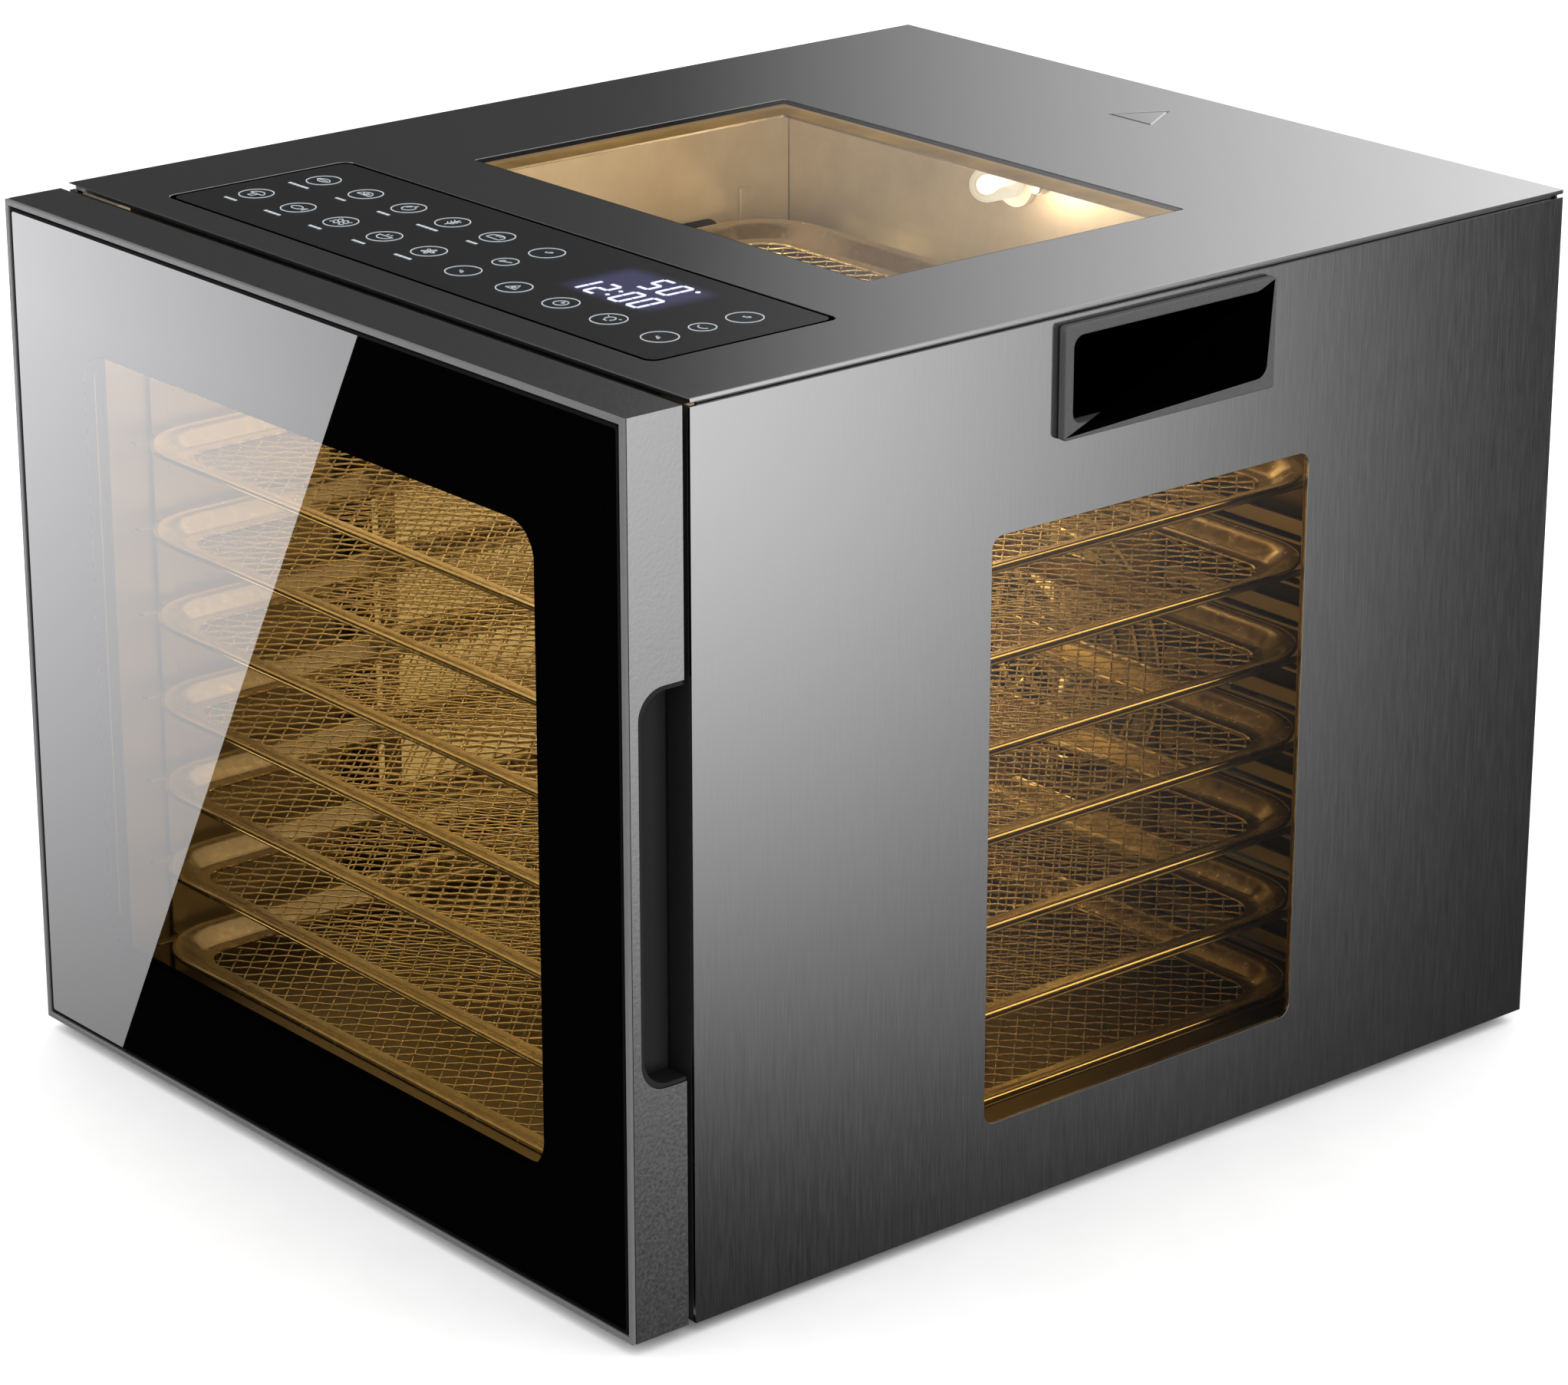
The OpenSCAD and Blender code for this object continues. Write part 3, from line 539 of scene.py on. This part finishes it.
def add_trays(m):
    lo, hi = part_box("tray_mesh_1")
    wires = wire_mesh_data(m["mesh_steel"], lo.x / MM, hi.x / MM, lo.y / MM, hi.y / MM, 16)
    for i in TRAYS:
        add_tray_rim(i, m["tray_steel"])
        lo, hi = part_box("tray_mesh_%d" % i)
        obj = bpy.data.objects.new("tray_wires_%d" % i, wires)
        bpy.context.scene.collection.objects.link(obj)
        obj.location.z = (lo.z + hi.z) / 2 - 0.2 * MM
        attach(obj, "tray_%d" % i)
        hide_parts("tray_mesh_%d" % i)


# ---------- door glass ----------
DOOR_WINDOW = (-127, 127, 48, 268.6)  # the clear part in mm: x from and to, z from and to
DOOR_WINDOW_CORNER = 12
PRINT, CLEAR, GROOVE = 0, 1, 2  # the pane's material slots


def add_door_glass(m):
    """The pane, with a printed black border round a clear window."""
    lo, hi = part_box("door_glass")
    x0, x1, z0, z1 = lo.x / MM, hi.x / MM, lo.z / MM, hi.z / MM
    front, back = lo.y / MM, hi.y / MM
    n, line = 10, 1.3
    outline = [(0.5, front), (0.12, front + 0.12), (0, front + 0.5), (0, back - 0.5), (0.12, back - 0.12),
               (0.5, back)]
    window = rounded(*DOOR_WINDOW, DOOR_WINDOW_CORNER, n)
    verts, faces, index = [], [], []

    def loop(points, y):
        start = len(verts)
        verts.extend((x, y, z) for x, z in points)
        return start

    def band(a, b, count, mat):
        for j in range(count):
            k = (j + 1) % count
            faces.append((a + j, a + k, b + k, b + j))
            index.append(mat)

    starts = [loop(rounded(x0 + d, x1 - d, z0 + d, z1 - d, 1.5 - min(d, 1), n), y) for d, y in outline]
    count = len(window)
    for a, b in zip(starts, starts[1:]):
        band(a, b, count, GROOVE)
    inner_front, inner_back = loop(window, front), loop(window, back)
    groove = loop(rounded(x0 + line, x1 - line, z0 + line, z1 - line, 1.0, n), front)
    band(inner_front, groove, count, PRINT)
    band(groove, starts[0], count, GROOVE)
    band(starts[-1], inner_back, count, PRINT)
    faces.append(tuple(inner_front + j for j in range(count)))
    faces.append(tuple(inner_back + j for j in reversed(range(count))))
    index += [CLEAR, CLEAR]
    mats = [m["door_print"], m["door_clear"], m["groove_black"]]
    obj = add_mesh("door_pane", verts, faces, mats, "door", index=index, sharp=8)
    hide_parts("door_glass")


# ---------- key marks ----------
# Places in mm. Every y is counted backwards from the panel's front edge.
PANEL_FRONT = -183.5
KEY_RADIUS = 6.13
FOOD_KEYS, FOOD_STEP = (-117.2, 41.8), (25.2, 28.6)
SIDE_KEYS, SIDE_STEP, ARROW_STEP = (10.8, 53.1), 103, 17.4
MIDDLE_KEYS, MIDDLE_STEP = (37.7, 36.2), 24.8
DASH_GAP, DASH_DROP, DASH_HEIGHT = 0.45, 10.8, 1.15


def arc(cx, cy, rx, ry, a0, a1, n=12):
    return [(cx + rx * math.cos(math.radians(a0 + (a1 - a0) * k / n)),
             cy + ry * math.sin(math.radians(a0 + (a1 - a0) * k / n))) for k in range(n + 1)]


def signs():
    """Generic pictures, as open lines about (0, 0) that fit a circle of radius 4.4."""
    ring = arc(0, 0, 2.6, 2.6, 0, 360)
    leaf = [arc(0, -2.2, 4.2, 3.9, 35, 145), arc(0, 2.2, 4.2, 3.9, 215, 325), [(-3.2, 0), (2.2, 0)]]
    fish = [arc(-0.6, 0, 2.8, 1.7, 0, 360), [(2.2, 0), (3.8, 1.5), (3.8, -1.5), (2.2, 0)]]
    bowl = [arc(0, 0.6, 3.3, 3.2, 180, 360), [(-3.8, 0.6), (3.8, 0.6)], [(-1, 1.6), (-1, 2.8)],
            [(1, 1.6), (1, 2.8)]]
    waves = [[(x / 2, h + 0.7 * math.sin(x)) for x in range(-7, 8)] for h in (-1.9, 0, 1.9)]
    mushroom = [arc(0, 0, 3.3, 2.8, 0, 180), [(-3.3, 0), (3.3, 0)],
                [(-0.9, 0), (-1.1, -2.9), (1.1, -2.9), (0.9, 0)]]
    apple = [ring, [(0, 2.6), (0.6, 3.8)], arc(-0.4, 0.4, 1.2, 1.2, 100, 190, 6)]
    loaf = [arc(0, -0.4, 3.6, 2.4, 0, 180), [(-3.6, -0.4), (-3.4, -2.2), (3.4, -2.2), (3.6, -0.4)],
            [(-1.3, 0.2), (-0.5, 1.6)], [(0.7, 0.2), (1.5, 1.6)]]
    sprig = [[(0, -3.4), (0, 3.2)]]
    sprig += [[(0, h), (s * 1.9, h + 1.5)] for h in (-2.2, -0.7, 0.8) for s in (-1, 1)]
    petals = [(1.9 + 0.9 * math.cos(5 * a), a) for a in (k * math.pi / 20 for k in range(41))]
    flower = [[(r * math.cos(a), r * math.sin(a)) for r, a in petals], arc(0, 0, 0.6, 0.6, 0, 360, 8)]
    slice_ = [arc(0, -1.2, 3.5, 3.5, 0, 180), [(-3.5, -1.2), (3.5, -1.2)]]
    slice_ += [[(0, -1.2), (2.6 * math.cos(a), -1.2 + 2.6 * math.sin(a))] for a in (0.8, 1.57, 2.34)]
    return [mushroom, leaf, fish, slice_, waves, apple, bowl, sprig, flower, loaf]


def add_marks(mat):
    """Thin rings with pictures and a row of dashes for each label, in place of the CAD's heavier ones."""
    lo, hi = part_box("key_marks")
    z0, z1 = lo.z / MM, hi.z / MM
    verts, faces = [], []

    def stroke(path, width=0.34):
        path = [(x, PANEL_FRONT + y) for x, y in path]
        left, right = [], []
        for k, (x, y) in enumerate(path):
            ax, ay = path[max(k - 1, 0)]
            bx, by = path[min(k + 1, len(path) - 1)]
            s = width / 2 / max(math.hypot(bx - ax, by - ay), 1e-6)
            left.append((x - (by - ay) * s, y + (bx - ax) * s))
            right.append((x + (by - ay) * s, y - (bx - ax) * s))
        start = len(verts)
        for (lx, ly), (rx, ry) in zip(left, right):
            verts.extend([(lx, ly, z0), (lx, ly, z1), (rx, ry, z1), (rx, ry, z0)])
        for k in range(len(path) - 1):
            for q in range(4):
                a, b = start + k * 4 + q, start + k * 4 + (q + 1) % 4
                faces.append((a, b, b + 4, a + 4))
        last = start + (len(path) - 1) * 4
        faces.append((start + 3, start + 2, start + 1, start))
        faces.append((last, last + 1, last + 2, last + 3))

    def key(x, y, lines, r=KEY_RADIUS):
        stroke(arc(x, y, r, r, 0, 360, 48), 0.36)
        for line in lines:
            stroke([(x + px, y + py) for px, py in line])

    pictures = signs()
    for i in range(5):
        for j in range(2):
            x, y = FOOD_KEYS[0] + i * FOOD_STEP[0], FOOD_KEYS[1] + j * FOOD_STEP[1]
            key(x, y, pictures[i * 2 + j])
            # Three to five dashes, some of them short.
            count = 3 + (i * 2 + j * 3 + 2) % 3
            dashes = [1.0 if (k * 3 + i + 2 * j) % 3 == 0 else 1.9 for k in range(count)]
            at = x - (sum(dashes) + DASH_GAP * (len(dashes) - 1)) / 2
            for d in dashes:
                stroke([(at, y - DASH_DROP), (at + d, y - DASH_DROP)], DASH_HEIGHT)
                at += d + DASH_GAP
    middles = [[[(-2.4, -1), (2.4, 1)], [(-2.4, -1), (-1.2, 1.2)]], [arc(0, 0.4, 2.2, 1.6, 180, 360)]]
    for i in range(2):
        x, y = SIDE_KEYS[0] + i * SIDE_STEP, SIDE_KEYS[1]
        for s in (-1, 1):
            arrow_y = y + s * ARROW_STEP
            key(x, arrow_y, [])
            stroke([(x + 1.2, arrow_y + s * 1.62), (x - 1.2, arrow_y + s * 0.18)], 0.9)
            stroke([(x + 0.675, arrow_y + s * 0.7), (x - 0.675, arrow_y + s * 0.7)], 0.9)
        key(x, y, middles[i], 4.5)
    centres = [[[(-2.6, -1.6), (0, 2.6), (2.6, -1.6), (-2.6, -1.6)], arc(0, -0.2, 0.7, 0.7, 0, 360, 8)],
               [arc(0, 0, 2.6, 2.6, 60, 400), [(0, 0), (0, 1.7)], [(0, 0), (1.2, 0.5)]],
               [arc(0, 0.6, 1.9, 1.9, -50, 230), [(-0.9, -1.6), (0.9, -1.6)], [(-3.4, 2.6), (-2.6, 2)],
                [(3.4, 2.6), (2.6, 2)]]]
    for i in range(3):
        key(MIDDLE_KEYS[0] + i * MIDDLE_STEP, MIDDLE_KEYS[1], centres[i])
    obj = add_mesh("key_signs", verts, faces, [mat], "cabinet", sharp=30)
    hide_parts("key_marks")


# ---------- lamp ----------
def revolve(profile, axis_x, axis_z, n=40):
    """Loops about a front-to-back axis, from (radius, y) pairs."""
    return [[(axis_x + r * math.cos(2 * math.pi * j / n), y, axis_z + r * math.sin(2 * math.pi * j / n))
             for j in range(n)] for r, y in profile]


def add_lamp(m):
    lo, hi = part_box("lamp_bulb")
    x, z = (lo.x + hi.x) / 2 / MM, (lo.z + hi.z) / 2 / MM
    y0, y1, r = lo.y / MM, hi.y / MM, (hi.x - lo.x) / 2 / MM
    # The jar's section as (radius, y): a round end, a side with a bead, then back along the inside.
    jar = [(0.05, y0)]
    for k in range(1, 9):
        a = math.pi / 2 * k / 8
        jar.append((r * math.sin(a) * 0.97, y0 + r * (1 - math.cos(a))))
    jar += [(r, y1 - 4.5), (r, y1 - 3.2), (r * 0.95, y1 - 2.6), (r, y1 - 2.0), (r, y1), (r - 1, y1),
            (r - 1.1, y0 + r)]
    for k in range(7, 0, -1):
        a = math.pi / 2 * k / 8
        jar.append(((r - 1.1) * math.sin(a), y0 + r - (r - 1.1) * math.cos(a)))
    jar.append((0.05, y0 + 1.1))
    verts, faces = skin(revolve(jar, x, z))
    shell = add_mesh("lamp_jar", verts, faces, [m["lamp_glass"]], "cabinet")
    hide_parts("lamp_bulb")
    # The bulb inside the jar.
    bulb = [(0.05, y0 + 2.6), (1.6, y0 + 2.9), (2.9, y0 + 4.0), (3.6, y0 + 5.8), (3.5, y0 + 8.0),
            (2.6, y0 + 10.5), (2.1, y0 + 13), (2.1, y1), (0.05, y1)]
    verts, faces = skin(revolve(bulb, x, z, 28))
    add_mesh("lamp_glow", verts, faces, [m["lamp_glow"]], "cabinet")


# ---------- CAD nodes with finished edges ----------
# Width of the softened edges in millimetres; a node that isn't here keeps its sharp ones.
SOFT_EDGES = {
    0.15: ("top_window_glass", "side_window_glass_right", "side_window_glass_left"),
    0.2: ("screws", "liner_right", "liner_left", "liner_ceiling", "liner_floor"),
    0.25: ("top_cover", "rear_cover"),
    0.3: ("door_bezel", "control_glass", "front_frame", "tray_rails", "tray_posts", "control_housing",
          "motor_bracket", "hinge_brackets", "base_pan", "fan_guard"),
    0.35: ("side_panel_right", "side_panel_left"),
    0.4: ("door_gasket",),
    0.5: ("door_grip", "feet"),
    0.6: ("power_inlet", "lamp_base", "fan_motor"),
    0.7: ("door_frame", "fan_baffle"),
    0.8: ("handle_pocket_right", "handle_pocket_left"),
}
OWN_MATERIALS = {
    "top_cover": "cover_steel",
    "top_window_seal": "seal_amber",
    "top_window_glass": "top_glass",
    "liner_ceiling": "ceiling_steel",
    "fan_baffle": "baffle_steel",
}


def dress_nodes(m):
    widths = {name: width for width, names in SOFT_EDGES.items() for name in names}
    for name, obj in NODE.items():
        if obj.hide_render:
            continue
        slot = obj.material_slots[0].material.name.split(".")[0]
        paint(obj, m[OWN_MATERIALS.get(name, slot)])
        refine(name, widths.get(name, 0))


# ---------- studio ----------
def add_floor():
    mat, _, _ = surface("floor_paper", 0.9, 0.8, 0, EVEN, 40, 0.05, 0.01, 0.02, 0.001)
    data = bpy.data.meshes.new("floor")
    size, z = 14.0, -0.2 * MM
    corners = [(-size, -size, z), (size, -size, z), (size, size, z), (-size, size, z)]
    data.from_pydata(corners, [], [(0, 1, 2, 3)])
    data.materials.append(mat)
    floor = bpy.data.objects.new("floor", data)
    bpy.context.scene.collection.objects.link(floor)
    floor.visible_glossy = False


def add_world():
    """White studio for the camera and diffuse light. Gloss sees dark walls and soft boxes instead."""
    world = bpy.data.worlds.new("studio")
    bpy.context.scene.world = world
    world.use_nodes = True
    nt = world.node_tree
    nt.nodes.clear()
    out = nt.nodes.new("ShaderNodeOutputWorld")
    plain = node(nt, "Background", {"Color": grey(1.0), "Strength": 1.75})
    dx, dy, dz = node(nt, "SeparateXYZ", {0: node(nt, "TexCoord").outputs["Generated"]}).outputs
    deg = 180 / math.pi
    azimuth = mul(nt, math_node(nt, "ARCTAN2", dy, dx), deg)
    height = mul(nt, math_node(nt, "ARCSINE", dz), deg)
    turn = distance(nt, azimuth)
    # Angles are in degrees. Azimuth 0 is the cabinet's right and 90 its back.
    # Right side: a soft box in front, fading towards the back and the floor.
    side = mul(nt, ramp(nt, azimuth, 39.0, 47.5, 1.42, 0.0), ramp(nt, height, -25.0, -17.5, 0.0, 1.0))
    side = mul(nt, side, ramp(nt, azimuth, -60.0, -20.0, 0.0, 1.0, smooth=True))
    # Dim light from behind, so that the back and the left aren't black. Things behind glass don't see it.
    inside = above(nt, node(nt, "LightPath").outputs["Transparent Depth"], 0.5)
    dim_light = mul(nt, sub(nt, 1.0, inside), 0.42)
    back = mul(nt, ramp(nt, turn, 56.0, 78.0, 0.0, 1.0, smooth=True), dim_light)
    around = larger(nt, above(nt, azimuth, 0.0), ramp(nt, azimuth, -176.0, -158.0, 1.0, 0.0))
    low = add(nt, add(nt, side, mul(nt, back, around)), 0.004)
    # Above: brightest from 116 to 127 degrees to either side, dark from 141, and a little lighter at 180.
    roof = mul(nt, ramp(nt, turn, 126.7, 141.1, 1.62, 0.05), ramp(nt, turn, 90.0, 116.0, 0.36, 1.0))
    roof = add(nt, roof, ramp(nt, turn, 156.0, 174.0, 0.0, 0.45))
    roof = mul(nt, roof, ramp(nt, turn, 60.0, 85.0, 0.55, 1.0, smooth=True))
    # Behind right: a soft box that only the rounded edges behind a window mirror, such as the tray rims'.
    edge = mul(nt, ramp(nt, azimuth, 26.0, 34.0, 0.0, 4.6), ramp(nt, azimuth, 60.0, 70.0, 1.0, 0.0))
    edge = mul(nt, edge, ramp(nt, height, 40.0, 52.0, 1.0, 0.0))
    up = add(nt, roof, mul(nt, edge, inside))
    is_up = ramp(nt, height, -4.0, 4.0, 0.0, 1.0, smooth=True)
    both = node(nt, "Mix", {0: is_up, 2: low, 3: up}, data_type="FLOAT").outputs[0]
    gloss = node(nt, "Background", {"Color": grey(1.0), "Strength": both})
    is_gloss = node(nt, "LightPath").outputs["Is Glossy Ray"]
    mix = node(nt, "MixShader", {0: is_gloss, 1: plain.outputs[0], 2: gloss.outputs[0]})
    nt.links.new(mix.outputs[0], out.inputs[0])


def add_front_card():
    """A slanted bright board in front of the door, seen only as its reflection in the door glass."""
    y = -0.5092
    # x and z in metres; the slanted side is the edge that shows in the glass.
    corners = [(-0.80, -0.32), (-0.6432, -0.32), (-0.3679, 0.20), (-0.80, 0.20)]
    data = bpy.data.meshes.new("front_card")
    data.from_pydata([(x, y, z) for x, z in corners], [], [(0, 1, 2, 3)])
    mat, nt, out = new_material("front_card")
    x, _, z = object_xyz(nt)
    strength = mul(nt, ramp(nt, z, -0.26, 0.12, 1.65, 5.2), ramp(nt, x, -0.66, -0.40, 1.0, 0.62))
    emission = node(nt, "Emission", {"Color": (1.0, 1.0, 1.02, 1), "Strength": strength})
    nt.links.new(emission.outputs[0], out.inputs[0])
    data.materials.append(mat)
    card = bpy.data.objects.new("front_card", data)
    bpy.context.scene.collection.objects.link(card)
    for ray in ("camera", "diffuse", "shadow", "transmission", "volume_scatter"):
        setattr(card, "visible_" + ray, False)


def light(name, kind, place, power, colour, size, size_y=None):
    data = bpy.data.lights.new(name, kind)
    data.energy = power
    data.color = colour
    if kind == "AREA":
        data.shape = "RECTANGLE"
        data.size = size
        data.size_y = size_y
    else:
        data.shadow_soft_size = size
    obj = bpy.data.objects.new(name, data)
    bpy.context.scene.collection.objects.link(obj)
    obj.location = place
    obj.visible_camera = False
    return obj


def point_light(name, place, power, colour, radius):
    light(name, "POINT", place, power, colour, radius)


def area_light(name, place, power, colour, size, aim=None):
    """A rectangle that shines towards the point aim, or straight down."""
    obj = light(name, "AREA", place, power, colour, *size)
    aim = aim or (place[0], place[1], 0)
    obj.rotation_euler = (Vector(place) - Vector(aim)).to_track_quat("Z", "Y").to_euler()


WARM = (1.0, 0.78, 0.40)
PALE = (1.0, 0.85, 0.66)
# Heights in mm: of the lowest tray, from tray to tray, and from a tray to the lights over it.
TRAY_FLOOR, TRAY_PITCH, LIGHT_RISE = 33.5, 32, 23


def add_lights():
    """The lamp and the warm light it spreads: over each tray, on the chamber's walls, in small glints."""
    point_light("lamp_light", (-0.026, 0.10, 0.288), 0.14, PALE, 0.012)
    area_light("roof_light", (0.0, -0.02, 0.3068), 0.38, PALE, (0.20, 0.14))
    area_light("left_wash", (0.125, 0.09, 0.278), 0.12, PALE, (0.10, 0.02), aim=(-0.155, -0.03, 0.290))
    area_light("rear_wash", (-0.07, -0.13, 0.278), 0.05, PALE, (0.14, 0.02), aim=(0.02, 0.17, 0.290))
    for i in range(len(TRAYS)):
        z = (TRAY_FLOOR + TRAY_PITCH * i + LIGHT_RISE) * MM
        top, under_top = i == len(TRAYS) - 1, i == len(TRAYS) - 2
        tone, power = (PALE, 0.016) if top else (WARM, 0.006 + 0.0018 * i)
        area_light("right_light_%d" % i, (0.112, -0.06, z), (1.0 if top else 0.4) * power, tone,
                   (0.06, 0.16))
        area_light("front_light_%d" % i, (-0.01, -0.135, z), 1.6 * power, tone, (0.24, 0.07))
        area_light("flange_light_%d" % i, (-0.142, -0.12, z - 0.003), 0.0028, PALE, (0.02, 0.11))
        if not top:
            # Little from behind goes into the gap under the top tray, or it would show on the rear wall.
            glint, behind = (0.008, 0.008) if under_top else (0.030, 0.024)
            point_light("glint_light_%d" % i, (-0.125, 0.10 - 0.01 * (i % 3), z - 0.010), glint, WARM, 0.004)
            area_light("back_light_%d" % i, (-0.06, 0.150, z - 0.009), behind, WARM, (0.14, 0.010),
                       aim=(-0.03, -0.1, z - 0.030))
            area_light("wall_light_%d" % i, (0.04, 0.10, z - 0.006), 0.0012, WARM, (0.20, 0.006),
                       aim=(0.04, 0.2, z - 0.008))


add_camera()
add_world()
add_floor()
add_front_card()
add_lights()
MAT = make_materials()
add_trays(MAT)
add_door_glass(MAT)
add_lamp(MAT)
add_marks(MAT["marks"])
dress_nodes(MAT)
bpy.context.scene.view_settings.view_transform = "Standard"
